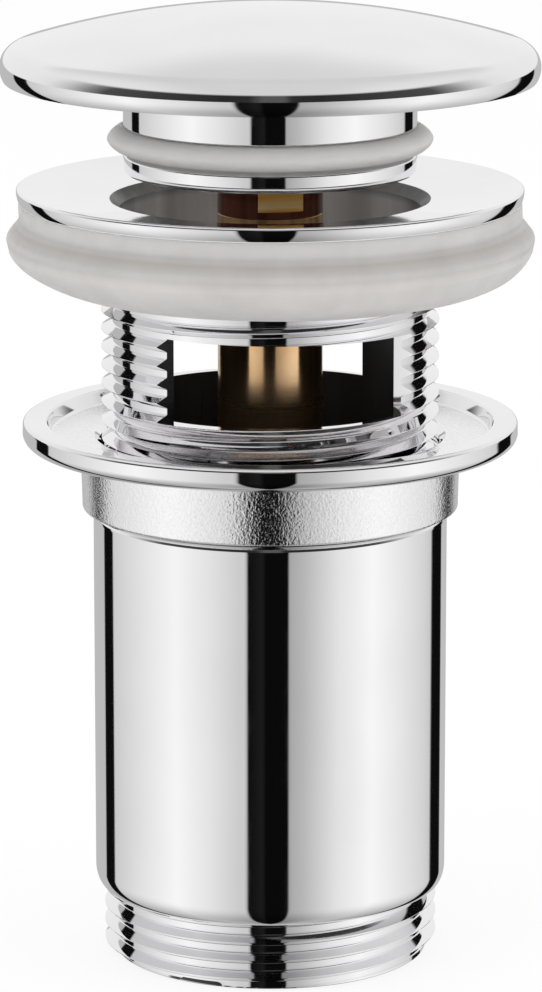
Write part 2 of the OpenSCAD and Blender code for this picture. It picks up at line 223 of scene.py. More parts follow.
def faceTable(piece):
    # place in mm, normal and outward lean of every face
    mesh = piece.data
    centres = np.zeros(len(mesh.polygons) * 3)
    normals = np.zeros(len(mesh.polygons) * 3)
    mesh.polygons.foreach_get("center", centres)
    mesh.polygons.foreach_get("normal", normals)
    centres, normals = centres.reshape(-1, 3) / mm, normals.reshape(-1, 3)
    radius = np.hypot(centres[:, 0], centres[:, 1])
    outward = (centres[:, :2] * normals[:, :2]).sum(1) / np.maximum(radius, 1e-6)
    return {"centre": centres, "z": centres[:, 2], "r": radius, "normal": normals, "outward": outward}


def finishPiece(piece, body, materials, nodes, zone=None):
    piece.data.materials.clear()
    for material in materials:
        piece.data.materials.append(material)
    if zone is not None:
        piece.data.polygons.foreach_set("material_index", zone.astype(np.int32))
    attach(piece, body)
    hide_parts(*nodes)
    print("made", piece.name, len(piece.data.polygons), "faces")


# finishes

def newFinish(name):
    material = bpy.data.materials.new(name)
    material.use_nodes = True
    tree = material.node_tree
    return material, tree, tree.nodes["Principled BSDF"]


def field(tree, scale, stretch=(1, 1, 1), detail=3.0, rough=0.5):
    # noise in the part's own space, scale in cells per metre
    place = tree.nodes.new("ShaderNodeTexCoord")
    mapping = tree.nodes.new("ShaderNodeMapping")
    mapping.inputs["Scale"].default_value = stretch
    cloud = tree.nodes.new("ShaderNodeTexNoise")
    cloud.inputs["Scale"].default_value = scale
    cloud.inputs["Detail"].default_value = detail
    cloud.inputs["Roughness"].default_value = rough
    tree.links.new(place.outputs["Object"], mapping.inputs["Vector"])
    tree.links.new(mapping.outputs["Vector"], cloud.inputs["Vector"])
    return cloud.outputs["Fac"]


def ramp(tree, source, stops):
    node = tree.nodes.new("ShaderNodeValToRGB")
    fillStops(node.color_ramp, stops)
    tree.links.new(source, node.inputs["Fac"])
    return node.outputs["Color"]


def fillStops(band, stops):
    # stops are (place, grey) or (place, (r, g, b))
    while len(band.elements) > 1:
        band.elements.remove(band.elements[-1])
    for i, (place, tone) in enumerate(stops):
        element = band.elements[0] if i == 0 else band.elements.new(place)
        element.position = place
        tone = (tone,) * 3 if not isinstance(tone, tuple) else tone
        element.color = (*tone, 1)


def spread(tree, source, low, high, fromLow=0.3, fromHigh=0.7):
    node = tree.nodes.new("ShaderNodeMapRange")
    node.inputs["From Min"].default_value = fromLow
    node.inputs["From Max"].default_value = fromHigh
    node.inputs["To Min"].default_value = low
    node.inputs["To Max"].default_value = high
    tree.links.new(source, node.inputs["Value"])
    return node.outputs["Result"]


def addBump(tree, shader, source, strength, distance):
    node = tree.nodes.new("ShaderNodeBump")
    node.inputs["Strength"].default_value = strength
    node.inputs["Distance"].default_value = distance
    tree.links.new(source, node.inputs["Height"])
    tree.links.new(node.outputs["Normal"], shader.inputs["Normal"])


def makeChromePolished():
    material, tree, shader = newFinish("chromePolished")
    shader.inputs["Metallic"].default_value = 1.0
    haze = field(tree, 70, detail=2)
    tree.links.new(ramp(tree, haze, [(0.35, (0.895, 0.89, 0.90)), (0.65, (0.925, 0.92, 0.928))]),
                   shader.inputs["Base Color"])
    wipe = field(tree, 900, stretch=(1, 1, 0.25), detail=4)
    tree.links.new(spread(tree, wipe, 0.025, 0.06), shader.inputs["Roughness"])
    addBump(tree, shader, field(tree, 160, detail=1), 0.03, 0.00002)  # faint waver of a buffed surface
    return material


def heightTone(tree, stops):
    # a tone by height in the part's own space, stops in mm
    low, high = stops[0][0], stops[-1][0]
    place = tree.nodes.new("ShaderNodeTexCoord")
    split = tree.nodes.new("ShaderNodeSeparateXYZ")
    tree.links.new(place.outputs["Object"], split.inputs[0])
    share = spread(tree, split.outputs["Z"], 0, 1, low * mm, high * mm)
    return ramp(tree, share, [((z - low) / (high - low), tone) for z, tone in stops])


def tint(tree, a, b):
    node = tree.nodes.new("ShaderNodeMix")
    node.data_type = "RGBA"
    node.blend_type = "MULTIPLY"
    node.inputs["Factor"].default_value = 1.0
    tree.links.new(a, node.inputs[6])
    tree.links.new(b, node.inputs[7])
    return node.outputs[2]


def makeChromeBore():
    material, tree, shader = newFinish("chromeBore")
    shader.inputs["Metallic"].default_value = 0.15
    streak = field(tree, 700, stretch=(1, 1, 0.04), detail=4)
    sweep = field(tree, 130, stretch=(1, 1, 0.02), detail=1)
    lines = tint(tree, ramp(tree, streak, [(0.3, 0.85), (0.7, 1.0)]),
                 ramp(tree, sweep, [(0.36, 0.5), (0.6, 1.0)]))
    # painted shade: the bore's colour falls to near black deep below the mouth, where shade falls, and is
    # dimmer again on the seat at the top
    depth = [(80, 0.05), (84, 0.09), (87, 0.95), (93.6, 0.95), (94.7, 0.4), (96, 0.3)]
    tree.links.new(tint(tree, lines, heightTone(tree, depth)), shader.inputs["Base Color"])
    tree.links.new(spread(tree, streak, 0.4, 0.26), shader.inputs["Roughness"])
    shader.inputs["Specular IOR Level"].default_value = 0.1
    addBump(tree, shader, streak, 0.25, 0.00004)
    return material


def makeCutWallPaintedShade():
    # painted shade: a near-black chrome for the left wall of each window, standing for the shade on that side
    material, tree, shader = newFinish("cutWallPaintedShade")
    shader.inputs["Metallic"].default_value = 1.0
    tool = field(tree, 900, stretch=(0.3, 0.3, 2), detail=3)
    tree.links.new(ramp(tree, tool, [(0.3, 0.015), (0.7, 0.04)]), shader.inputs["Base Color"])
    tree.links.new(spread(tree, tool, 0.3, 0.45), shader.inputs["Roughness"])
    addBump(tree, shader, tool, 0.2, 0.00003)
    return material


def makeChromeCast():
    material, tree, shader = newFinish("chromeCast")
    shader.inputs["Metallic"].default_value = 1.0
    grain = field(tree, 3200, detail=2, rough=0.55)  # sand grains about 0.3 mm across
    tree.links.new(ramp(tree, grain, [(0.3, (0.91, 0.905, 0.91)), (0.6, (0.97, 0.965, 0.97))]),
                   shader.inputs["Base Color"])
    tree.links.new(spread(tree, grain, 0.12, 0.06), shader.inputs["Roughness"])
    addBump(tree, shader, grain, 0.42, 0.00012)
    return material


def makeBrassTurned(name, stops):
    material, tree, shader = newFinish(name)
    shader.inputs["Metallic"].default_value = 1.0
    patina = field(tree, 160, stretch=(1, 1, 0.6), detail=4)
    tree.links.new(ramp(tree, patina, stops), shader.inputs["Base Color"])
    tool = field(tree, 500, stretch=(0.05, 0.05, 6), detail=3)  # faint rings left by the lathe
    dull = heightTone(tree, [(69, 0.32), (72, 0.28), (76, 0.16), (79, 0.12)])  # stained low in the waterway
    rings = ramp(tree, tool, [(0.3, 0.85), (0.7, 1.0)])
    tree.links.new(tint(tree, dull, rings), shader.inputs["Roughness"])
    addBump(tree, shader, tool, 0.05, 0.00002)
    return material


def makeBrassMilled():
    material, tree, shader = newFinish("brassMilled")
    shader.inputs["Metallic"].default_value = 0.5
    tool = field(tree, 420, stretch=(0.12, 0.12, 3), detail=4)
    gold = [(0.3, (0.74, 0.34, 0.05)), (0.5, (0.96, 0.54, 0.14)), (0.7, (1.0, 0.76, 0.38))]
    tree.links.new(ramp(tree, tool, gold), shader.inputs["Base Color"])
    tree.links.new(spread(tree, tool, 0.5, 0.65), shader.inputs["Roughness"])
    addBump(tree, shader, tool, 0.35, 0.00006)
    return material


def makeSilicone(name, dark, pale, tones):
    material, tree, shader = newFinish(name)
    cloud = field(tree, 220, detail=3)
    tone = ramp(tree, cloud, [(0.3, dark), (0.7, pale)])
    # the tones by height are painted light and painted shade, given for each part
    tree.links.new(tint(tree, tone, heightTone(tree, tones)), shader.inputs["Base Color"])
    tree.links.new(spread(tree, field(tree, 1500, detail=2), 0.36, 0.5), shader.inputs["Roughness"])
    shader.inputs["Subsurface Weight"].default_value = 0.8
    shader.inputs["Subsurface Radius"].default_value = (1.0, 0.97, 0.94)
    shader.inputs["Subsurface Scale"].default_value = 0.003
    shader.inputs["IOR"].default_value = 1.41
    shader.inputs["Specular IOR Level"].default_value = 0.4
    addBump(tree, shader, cloud, 0.06, 0.0001)
    return material


def makeRubberBlack():
    material, tree, shader = newFinish("rubberBlack")
    cloud = field(tree, 1200, detail=4)
    tree.links.new(ramp(tree, cloud, [(0.3, 0.012), (0.7, 0.032)]), shader.inputs["Base Color"])
    tree.links.new(spread(tree, cloud, 0.5, 0.68), shader.inputs["Roughness"])
    addBump(tree, shader, cloud, 0.15, 0.00005)
    return material


def makeSteelBright():
    material, tree, shader = newFinish("steelBright")
    shader.inputs["Metallic"].default_value = 1.0
    drawn = field(tree, 1400, stretch=(1, 1, 3), detail=3)
    tree.links.new(ramp(tree, drawn, [(0.3, (0.52, 0.525, 0.53)), (0.7, (0.68, 0.685, 0.69))]),
                   shader.inputs["Base Color"])
    tree.links.new(spread(tree, drawn, 0.3, 0.18), shader.inputs["Roughness"])
    addBump(tree, shader, drawn, 0.1, 0.00002)
    return material


chromePolished = makeChromePolished()
chromeBore = makeChromeBore()
cutWallPaintedShade = makeCutWallPaintedShade()
chromeCast = makeChromeCast()
brassTurned = makeBrassTurned("brassTurned", [
    (0.3, (0.74, 0.43, 0.20)), (0.5, (0.86, 0.56, 0.30)), (0.7, (0.94, 0.66, 0.40))])
# painted shade: a dark copy of the turned brass for the head, which sits in shade in the mouth under the cap
brassPaintedShade = makeBrassTurned("brassPaintedShade", [
    (0.3, (0.20, 0.07, 0.05)), (0.5, (0.26, 0.10, 0.07)), (0.7, (0.32, 0.13, 0.08))])
brassMilled = makeBrassMilled()
# painted shade in the crease and on the upward-facing lip under the flange, and painted light on the lower
# skirt, by height
siliconeGasket = makeSilicone("siliconeGasket", (0.50, 0.485, 0.475), (0.55, 0.535, 0.525), [
    (84.4, 1.4), (86.5, 1.16), (89.0, 1.03), (90.0, 1.0), (90.8, 0.85), (91.8, 0.76),
    (92.5, (0.70, 0.675, 0.645)), (93.0, 0.82), (93.8, 0.97), (95.4, 1.04)])
# painted light: the seal's colour is set paler than the gasket's and its height tones lighten its top and
# bottom edges, for light it does not get under the cap
siliconeSeal = makeSilicone("siliconeSeal", (0.82, 0.80, 0.775), (0.87, 0.855, 0.83), [
    (101.7, 1.1), (102.4, 0.95), (103.2, 0.86), (104.0, 1.05), (104.6, 1.12), (104.8, 1.12)])
rubberBlack = makeRubberBlack()
steelBright = makeSteelBright()
print("finishes made")

# tail pipe: threaded outlet, polished barrel, socket

tailPipe = {
    "outletR": 18.0265, "barrelR": 22.055, "boreR": 19.955, "socketR": 21.055,
    "threadTop": 8.6, "shoulderTop": 10.9, "throatZ": 12.9, "socketZ": 45.8, "top": 56.8,
    "lead": 1.3, "topRound": 0.9, "outletEdge": 0.25,
}


def makeTailPipe(p):
    flare = p["throatZ"] + p["boreR"] - p["outletR"]
    footR, foot = thread["r"] - p["lead"], thread["foot"]
    topRound, edge = p["topRound"], p["outletEdge"]
    rest = [np.array((thread["r"], p["threadTop"]))]
    rest += arcPoints(thread["r"], p["shoulderTop"], p["barrelR"] - thread["r"],
                      p["shoulderTop"] - p["threadTop"], -90, 0, 12)[1:]
    rest += arcPoints(p["barrelR"] - topRound, p["top"] - topRound, topRound, topRound, 0, 90, 5)
    rest += [(p["socketR"], p["top"]), (p["socketR"], p["socketZ"]), (p["boreR"], p["socketZ"]),
             (p["boreR"], flare), (p["outletR"], p["throatZ"]), (p["outletR"], edge),
             (p["outletR"] + edge, 0.0), (footR - foot, 0.0), (footR, foot)]

    def endCut(z):
        return p["lead"] * np.clip((thread["leadRise"] - z) / (thread["leadRise"] - foot), 0, 1)

    return threadPiece("tailPipe", holdEdges(rest, closed=False), foot, p["threadTop"], endCut)


finishPiece(makeTailPipe(tailPipe), "tail", [chromePolished], ["tail_pipe"])

# flanged back nut: cast collar, dished flange, rolled rim

backNut = {
    "boreR": 21.055, "collarR": 23.605, "bottom": 57.0, "underZ": 64.4, "underRound": 0.5, "lead": 0.8,
    "leadRound": 0.15, "corner": 0.35, "draft": 0.2, "rimR": 30.8, "rimTop": 68.1, "beadR": 1.5,
    "beadZ": 66.6, "beadFlat": 0.4, "browR": 0.5, "browIn": 0.04, "browFall": 0.03,
    "floorZ": 66.2, "floorRound": 0.4, "dishR": 27.3, "wallLean": 0.5, "wallRound": 0.35,
    # sand texture of the collar, which fades out towards both its ends
    "grain": 0.014, "grainPerMm": 2.6, "fineShare": 0.6, "fineScale": 2.3, "grainSink": 0.9,
    "fadeFoot": 0.5, "fadeFlange": 0.6,
}


def makeBackNut(p):
    beadMid, brow = p["rimR"] - p["beadR"], p["browR"]
    collarCorners = [
        (p["boreR"], p["bottom"] + p["lead"]), (p["boreR"] + p["lead"], p["bottom"]),
        (p["collarR"] - p["draft"], p["bottom"], p["corner"]), (p["collarR"], p["underZ"], p["underRound"]),
        (beadMid - p["beadFlat"], p["beadZ"] - p["beadR"]),
    ]
    outline = filletOutline(collarCorners)[:-1]
    outline += arcPoints(beadMid, p["beadZ"], p["beadR"], p["beadR"], -90, -8, 14)
    outline += arcPoints(p["rimR"] - brow - p["browIn"], p["rimTop"] - brow, brow, brow, 2, 90, 10)
    outline += filletOutline([
        tuple(outline[-1]), (p["dishR"] + p["wallLean"], p["rimTop"] - p["browFall"], p["wallRound"]),
        (p["dishR"], p["floorZ"], p["floorRound"]), (p["boreR"] + p["lead"], p["floorZ"], p["leadRound"]),
        (p["boreR"], p["floorZ"] - p["lead"]),
    ])[1:]
    rows = holdEdges(outline, stretch=0.3)

    def shape(theta, r, z):
        x, y = r * np.cos(theta), r * np.sin(theta)
        cast = (r > p["collarR"] - 0.6) & (r < p["collarR"] + 0.3) & (z < p["underZ"] + 0.2)
        out = r.copy()
        for i, j in zip(*np.nonzero(cast)):
            spot = Vector((x[i, j], y[i, j], z[i, j])) * p["grainPerMm"]
            grit = noise.noise(spot) + p["fineShare"] * noise.noise(spot * p["fineScale"])
            fromFoot = (z[i, j] - p["bottom"] - p["fadeFoot"]) / p["fadeFoot"]
            toFlange = (p["underZ"] - z[i, j]) / p["fadeFlange"]
            fade = min(1.0, max(0.0, fromFoot), max(0.0, toFlange))
            out[i, j] = r[i, j] + (grit - p["grainSink"]) * p["grain"] * fade
        return out, z

    piece = turnPiece("backNut", rows, segments=560, shape=shape)
    face = faceTable(piece)
    cast = (face["r"] > p["collarR"] - 1.0) & (face["z"] < p["beadZ"] - p["beadR"] - 0.02)
    floor = (face["normal"][:, 2] > 0.9) & (face["r"] < p["dishR"] - 0.3) & (face["z"] < p["floorZ"] + 0.05)
    return piece, (cast | floor).astype(int)


nutPiece, nutZone = makeBackNut(backNut)
finishPiece(nutPiece, "back_nut", [chromePolished, chromeCast], ["back_nut"], nutZone)

# upper body: dished flange and threaded stem with two milled overflow windows

upperBody = {
    "bottom": 48.3, "boreR": 18.5765, "threadTop": 88.0, "flangeZ": 95.4, "flangeTop": 97.2, "flangeR": 31.3,
    "under": 1.2, "underR": 29.98, "edgeR": 3.09, "edgeDeg": -28, "brow": 0.35,
    "mouthR": 19.8265, "mouthZ": 95.8, "seat": 1.25, "seatRound": 0.2, "edge": 0.4,
    "windowLow": 70.55, "windowHigh": 80.85, "windowW": 31.4, "cutterR": 32.0, "windowTurns": (7.6, 187.6),
}


def windowReach(p):
    # from the axis to the middle of the disc that mills a window
    half = p["windowW"] / 2
    return -math.sqrt(thread["r"] ** 2 - half ** 2) - math.sqrt(p["cutterR"] ** 2 - half ** 2)


def makeWindowCutter(p, turnDeg):
    corners = [(0.0, p["windowLow"]), (p["cutterR"], p["windowLow"]),
               (p["cutterR"], p["windowHigh"]), (0.0, p["windowHigh"])]
    disc = turnPiece("windowCutter", holdEdges(corners, closed=False, stretch=40), closed=False, segments=360)
    a, reach = math.radians(turnDeg), windowReach(p)
    disc.data.transform(Matrix.Translation((-reach * math.sin(a) * mm, reach * math.cos(a) * mm, 0)))
    return disc


def findPaintedShadeWall(centre, p):
    # faces of the milled side walls that lie on the left of each window, seen from outside; they take a
    # near-black colour painted as shade
    x, y, z = centre.T
    found = np.zeros(len(centre), bool)
    for turnDeg in p["windowTurns"]:
        a = math.radians(turnDeg)
        across = x * math.cos(a) + y * math.sin(a)
        along = y * math.cos(a) - x * math.sin(a)
        onWall = np.abs(np.hypot(across, along - windowReach(p)) - p["cutterR"]) < 0.02
        found |= onWall & (across < 0) & (z > p["windowLow"] + 0.01) & (z < p["windowHigh"] - 0.01)
    return found


def makeUpperBody(p):
    footR, footZ = thread["r"] - thread["depth"], p["bottom"] + thread["foot"]
    edgeZ = p["flangeZ"] - p["edgeR"] * math.sin(math.radians(p["edgeDeg"]))
    rest = [np.array((thread["r"], p["threadTop"])), np.array((thread["r"], p["flangeZ"] - p["under"])),
            np.array((p["underR"], p["flangeZ"]))]
    rest += arcPoints(p["flangeR"] - p["edgeR"], edgeZ, p["edgeR"], p["edgeR"], p["edgeDeg"], 0, 12)
    rest += arcPoints(p["flangeR"] - p["brow"], p["flangeTop"] - p["brow"], p["brow"], p["brow"], 8, 81, 6)
    mouth = [tuple(rest[-1]), (p["mouthR"], p["mouthZ"], p["edge"]),
             (p["boreR"], p["mouthZ"] - p["seat"], p["seatRound"]), (p["boreR"], p["bottom"])]
    rest += filletOutline(mouth, steps=8)[1:-1]
    rest += [np.array((p["boreR"], p["bottom"])), np.array((footR - thread["foot"], p["bottom"])),
             np.array((footR, footZ))]

    def endCut(z):
        rise = thread["leadRise"]
        return thread["depth"] * np.clip((p["bottom"] + rise - z) / (rise - thread["foot"]), 0, 1)

    piece = threadPiece("upperBody", holdEdges(rest, closed=False), footZ, p["threadTop"], endCut)
    for turnDeg in p["windowTurns"]:
        combine(piece, makeWindowCutter(p, turnDeg), "DIFFERENCE")
    face = faceTable(piece)
    bore = (face["outward"] < -0.5) & (face["r"] < p["mouthR"] + 0.1) & (face["z"] < p["mouthZ"])
    zone = bore.astype(int)
    # the left walls of the windows take the finish painted near black as shade
    zone[findPaintedShadeWall(face["centre"], p)] = 2
    return piece, zone


bodyPiece, bodyZone = makeUpperBody(upperBody)
bodyFinishes = [chromePolished, chromeBore, cutWallPaintedShade]
finishPiece(bodyPiece, "waste_body", bodyFinishes, ["upper_body"], bodyZone)

# soft gasket under the flange

basinGasket = {
    "innerR": 21.055, "play": 0.05, "bottom": 84.4, "top": 95.38, "innerTop": 94.19, "underR": 29.98,
    "lipR": 32.6, "lipZ": 90.8, "lipRound": 1.2, "taper": 12.4, "collarR": 31.05,
    "creaseZ": 93.4, "crease": 0.8, "topHold": 0.5,
    # how the free skirt hangs: held at the stem, freer outwards, stiffer again at the lip
    "sag": 0.6, "wobble": 0.12, "grip": 0.5, "gripFade": 4.0, "lipFade": 3.0, "lipShare": 0.15,
}


def makeBasinGasket(p):
    innerR = p["innerR"] + p["play"]
    outline = [np.array((innerR, p["bottom"]))]
    outline += arcPoints(p["lipR"] - p["taper"], p["lipZ"], p["taper"], p["lipZ"] - p["bottom"], -78, -12, 26)
    outline += arcPoints(p["lipR"] - p["lipRound"], p["lipZ"], p["lipRound"], p["lipRound"], 0, 45, 8)
    outline += arcPoints(p["collarR"] + p["crease"], p["creaseZ"], p["crease"], p["crease"], 225, 180, 6)
    outline += [np.array((p["collarR"], p["top"])), np.array((p["underR"], p["top"])),
                np.array((innerR, p["innerTop"]))]
    rows = holdEdges(outline, stretch=1.2)

    def shape(theta, r, z):  # the free skirt hangs a little to one side and ripples
        depth = np.clip((p["top"] - z) / (p["top"] - p["bottom"]), 0, 1)
        free = np.clip((r - p["innerR"] - p["grip"]) / p["gripFade"], 0, 1) * depth
        lip = np.clip((p["lipR"] - r) / p["lipFade"], p["lipShare"], 1)
        soft = p["sag"] * np.cos(theta) * free * lip
        ripple = p["wobble"] * (np.sin(3 * theta + 0.7) + 0.5 * np.sin(7 * theta + 2.0)) * free
        r = np.minimum(r + soft + 0.5 * ripple, p["lipR"] + p["play"])
        return r, z + 0.4 * ripple * (z < p["top"] - p["topHold"])

    return turnPiece("basinGasket", rows, segments=224, shape=shape, sharpDeg=50)


finishPiece(makeBasinGasket(basinGasket), "waste_body", [siliconeGasket], ["basin_gasket"])

# plug: domed cap, neck and its soft seal

capSize = {
    "r": 33.2, "edgeZ": 112.1355, "edgeR": 3.0, "edgeDeg": -32, "browR": 2.8,
    "domeR": 107.0, "domeZ": 12.4685, "wall": 2.4, "seatZ": 110.8855, "holeR": 3.05, "holeTop": 115.8855,
    "hollowIn": 19.5765, "hollowOut": 30.45, "roofEdge": 0.5,
}


def makeCap(p):
    edgeMid, browMid = p["r"] - p["edgeR"], p["r"] - p["browR"]
    domeEnd = math.degrees(math.acos(browMid / (p["domeR"] - p["browR"])))
    roof = [(r, p["domeZ"] + math.sqrt((p["domeR"] - p["wall"]) ** 2 - r * r))
            for r in np.linspace(p["hollowIn"] + p["roofEdge"], p["hollowOut"] - p["roofEdge"], 9)]
    outline = [(0.0, p["holeTop"]), (p["holeR"], p["holeTop"]),
               (p["holeR"], p["seatZ"]), (p["hollowIn"], p["seatZ"])]
    outline += roof + [(p["hollowOut"], p["edgeZ"] + p["edgeR"] * math.sin(math.radians(p["edgeDeg"])))]
    outline += arcPoints(edgeMid, p["edgeZ"], p["edgeR"], p["edgeR"], p["edgeDeg"], -4, 10)
    outline += arcPoints(browMid, p["edgeZ"], p["browR"], p["browR"], 0, domeEnd, 22)
    outline += arcPoints(0, p["domeZ"], p["domeR"], p["domeR"], domeEnd, 90, 40)[1:]
    outline[-1] = np.array((0.0, p["domeZ"] + p["domeR"]))
    return turnPiece("cap", holdEdges(outline, closed=False), closed=False, segments=288)


finishPiece(makeCap(capSize), "plug", [chromePolished], ["cap"])

plugNeck = {
    "r": 18.0765, "bottom": 98.9855, "top": 110.8855, "landTop": 101.6855, "grooveTop": 104.7855,
    "grooveR": 15.8765, "cavityR": 13.5765, "cavityRoof": 106.25, "holeR": 3.05,
    "footRound": 0.7, "chamfer": 0.5, "roofRound": 1.0, "cavityRound": 0.3,
    "landRound": 0.4, "lipRound": 0.1, "grooveRound": 0.25,
}


def makePlugNeck(p):
    outline = filletOutline([
        (p["holeR"], p["cavityRoof"]), (p["cavityR"], p["cavityRoof"], p["roofRound"]),
        (p["cavityR"], p["bottom"], p["cavityRound"]), (p["r"], p["bottom"], p["footRound"]),
        (p["r"], p["landTop"] - p["chamfer"], p["landRound"]),
        (p["r"] - p["chamfer"], p["landTop"], p["lipRound"]), (p["grooveR"], p["landTop"]),
        (p["grooveR"], p["grooveTop"]), (p["r"], p["grooveTop"], p["grooveRound"]),
        (p["r"], p["top"]), (p["holeR"], p["top"]),
    ])
    return turnPiece("plugNeck", holdEdges(outline))


finishPiece(makePlugNeck(plugNeck), "plug", [chromePolished], ["plug_neck"])

plugSeal = {
    "innerR": 15.93, "neckR": 18.0765, "midZ": 103.2355, "half": 1.5,
    "nose": 2.03, "point": 1.25, "wobble": 0.05,
}


def makePlugSeal(p):
    outline = [np.array((p["innerR"], p["midZ"] + side * p["half"])) for side in (1, -1)]
    for a in np.radians(np.linspace(-90, 90, 29)):  # a nose a little more pointed than an ellipse
        reach, rise = math.cos(a) ** p["point"], math.copysign(abs(math.sin(a)) ** p["point"], a)
        outline.append(np.array((p["neckR"] + p["nose"] * reach, p["midZ"] + p["half"] * rise)))

    def shape(theta, r, z):
        free = np.clip((r - p["neckR"]) / p["nose"], 0, 1)
        ripple = p["wobble"] * (np.sin(2 * theta + 1.1) + 0.6 * np.sin(5 * theta))
        return r - np.abs(ripple) * free, z + 0.6 * ripple * free

    return turnPiece("plugSeal", holdEdges(outline), shape=shape, sharpDeg=50)


finishPiece(makePlugSeal(plugSeal), "plug", [siliconeSeal], ["plug_seal"])

# click core: housing with threaded shank, screwed head with spanner flats, spring

coreHousing = {
    "shankZ": 41.8, "shankR": 5.0, "shankLead": 0.7, "shankFoot": 0.05, "shankRows": 220, "hubTop": 57.3,
    "neck": 0.4, "relief": 0.6, "r": 6.5, "headZ": 94.0, "raceR": 5.5, "raceZ": 80.6743, "guideR": 4.55,
    "floorZ": 61.3, "edge": 0.4, "seam": 0.06,
    # fine thread on the shank, its crest and flank as shares of the pitch
    "finePitch": 1.0, "fineDepth": 0.45, "fineCrest": 0.06, "fineFlank": 0.36,
    "leadCut": 0.5, "leadRise": 0.6,
}


def makeCoreHousing(p):
    neckR, shankTop = p["shankR"] - p["neck"], p["hubTop"] - p["relief"]
    outline = [(0.0, p["shankZ"]), (p["shankR"] - p["shankLead"], p["shankZ"])]
    heights = np.linspace(p["shankZ"] + p["shankFoot"], shankTop, p["shankRows"])
    outline += [np.array((p["shankR"], z)) for z in heights]
    outline += filletOutline([
        (neckR, p["hubTop"] - p["relief"] / 2), (neckR, p["hubTop"]), (p["r"], p["hubTop"], p["edge"]),
        (p["r"], p["headZ"], p["seam"]), (p["raceR"], p["headZ"], p["seam"]),
        (p["raceR"], p["raceZ"]), (p["guideR"], p["raceZ"]), (p["guideR"], p["floorZ"]),
    ])
    outline += [np.array((0.0, p["floorZ"]))]

    def shape(theta, r, z):
        onShank = (np.abs(r - p["shankR"]) < 0.01) & (z < p["hubTop"] - p["relief"] / 2)
        phase = (z / p["finePitch"] - theta / (2 * math.pi)) % 1.0
        flank = (np.minimum(phase, 1 - phase) - p["fineCrest"]) / p["fineFlank"]
        lead = (p["shankZ"] + p["leadRise"] - z) / p["leadRise"]
        cut = np.maximum(p["fineDepth"] * np.clip(flank, 0, 1), p["leadCut"] * np.clip(lead, 0, 1))
        return np.where(onShank, r - cut, r), z

    rows = holdEdges(outline, closed=False)
    return turnPiece("coreHousing", rows, closed=False, segments=144, shape=shape)


finishPiece(makeCoreHousing(coreHousing), "waste_body", [brassTurned], ["core_housing"])

coreHead = {
    "holeR": 3.65, "spigotR": 5.45, "stopZ": 90.5, "headZ": 94.0, "r": 6.5, "top": 98.5, "edge": 0.4,
    "flats": 11.7, "flatsTurn": 12.5, "flatZ": 94.9, "seam": 0.06, "innerEdge": 0.2,
}


def makeCoreHead(p):
    outline = filletOutline([
        (p["holeR"], p["stopZ"]), (p["spigotR"], p["stopZ"], p["innerEdge"]), (p["spigotR"], p["headZ"]),
        (p["r"], p["headZ"], p["seam"]), (p["r"], p["top"], p["edge"]),
        (p["holeR"], p["top"], p["innerEdge"]),
    ])
    piece = turnPiece("coreHead", holdEdges(outline), segments=144)
    low = (-p["r"], -p["r"] - p["flats"] / 2, p["flatZ"])
    high = (p["r"], -p["flats"] / 2, p["top"] + 1)
    for side in (0, 180):
        combine(piece, blockPiece("flatCutter", low, high, p["flatsTurn"] + side), "DIFFERENCE")
    face = faceTable(piece)
    turn = math.radians(p["flatsTurn"])
    facing = np.array((math.sin(turn), -math.cos(turn)))
    milled = (np.abs(face["normal"][:, :2] @ facing) > 0.999) & (face["z"] > p["flatZ"] + 0.01)
    return piece, milled.astype(int)


headPiece, headZone = makeCoreHead(coreHead)
# the head's turned faces take the brass painted dark as shade; its milled flats keep the bright brass
finishPiece(headPiece, "waste_body", [brassPaintedShade, brassMilled], ["core_head"], headZone)

plugSpring = {
    "meanR": 3.8, "wireR": 0.5, "low": 61.85, "high": 77.3986, "turns": 6, "perTurn": 40, "sides": 12,
    "keep": 0.6186,  # share of the height left when the plug is down
}


def makePlugSpring(p):
    steps = p["turns"] * p["perTurn"]
    turn = np.linspace(0, 2 * math.pi * p["turns"], steps + 1)[:, None]
    around = np.linspace(0, 2 * math.pi, p["sides"], endpoint=False)[None, :]
    r = p["meanR"] + p["wireR"] * np.cos(around)
    rise = p["low"] + (p["high"] - p["low"]) * np.linspace(0, 1, steps + 1)[:, None]
    points = np.stack((r * np.cos(turn), r * np.sin(turn), rise + p["wireR"] * np.sin(around)), -1)
    n = p["sides"]
    faces = [(i * n + k, i * n + (k + 1) % n, (i + 1) * n + (k + 1) % n, (i + 1) * n + k)
             for i in range(steps) for k in range(n)]
    faces += [tuple(range(n - 1, -1, -1)), tuple(steps * n + k for k in range(n))]
    return meshPiece("plugSpring", points.reshape(-1, 3) * mm, faces)


springPiece = makePlugSpring(plugSpring)
finishPiece(springPiece, "waste_body", [steelBright], ["plug_spring"])
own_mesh(springPiece)

# bridge and lock nut that hold the core, seen from below

coreBridge = {
    "outerR": 18.5265, "band": 2.0, "bottom": 49.3, "height": 5.0, "hubR": 7.2, "hubTop": 57.3, "holeR": 5.05,
    "armT": 3.0, "armTurns": (90, 210, 330), "armSink": 1.0, "armInset": 0.15,
    "round": 0.45, "edge": 0.3, "holeEdge": 0.2,
}


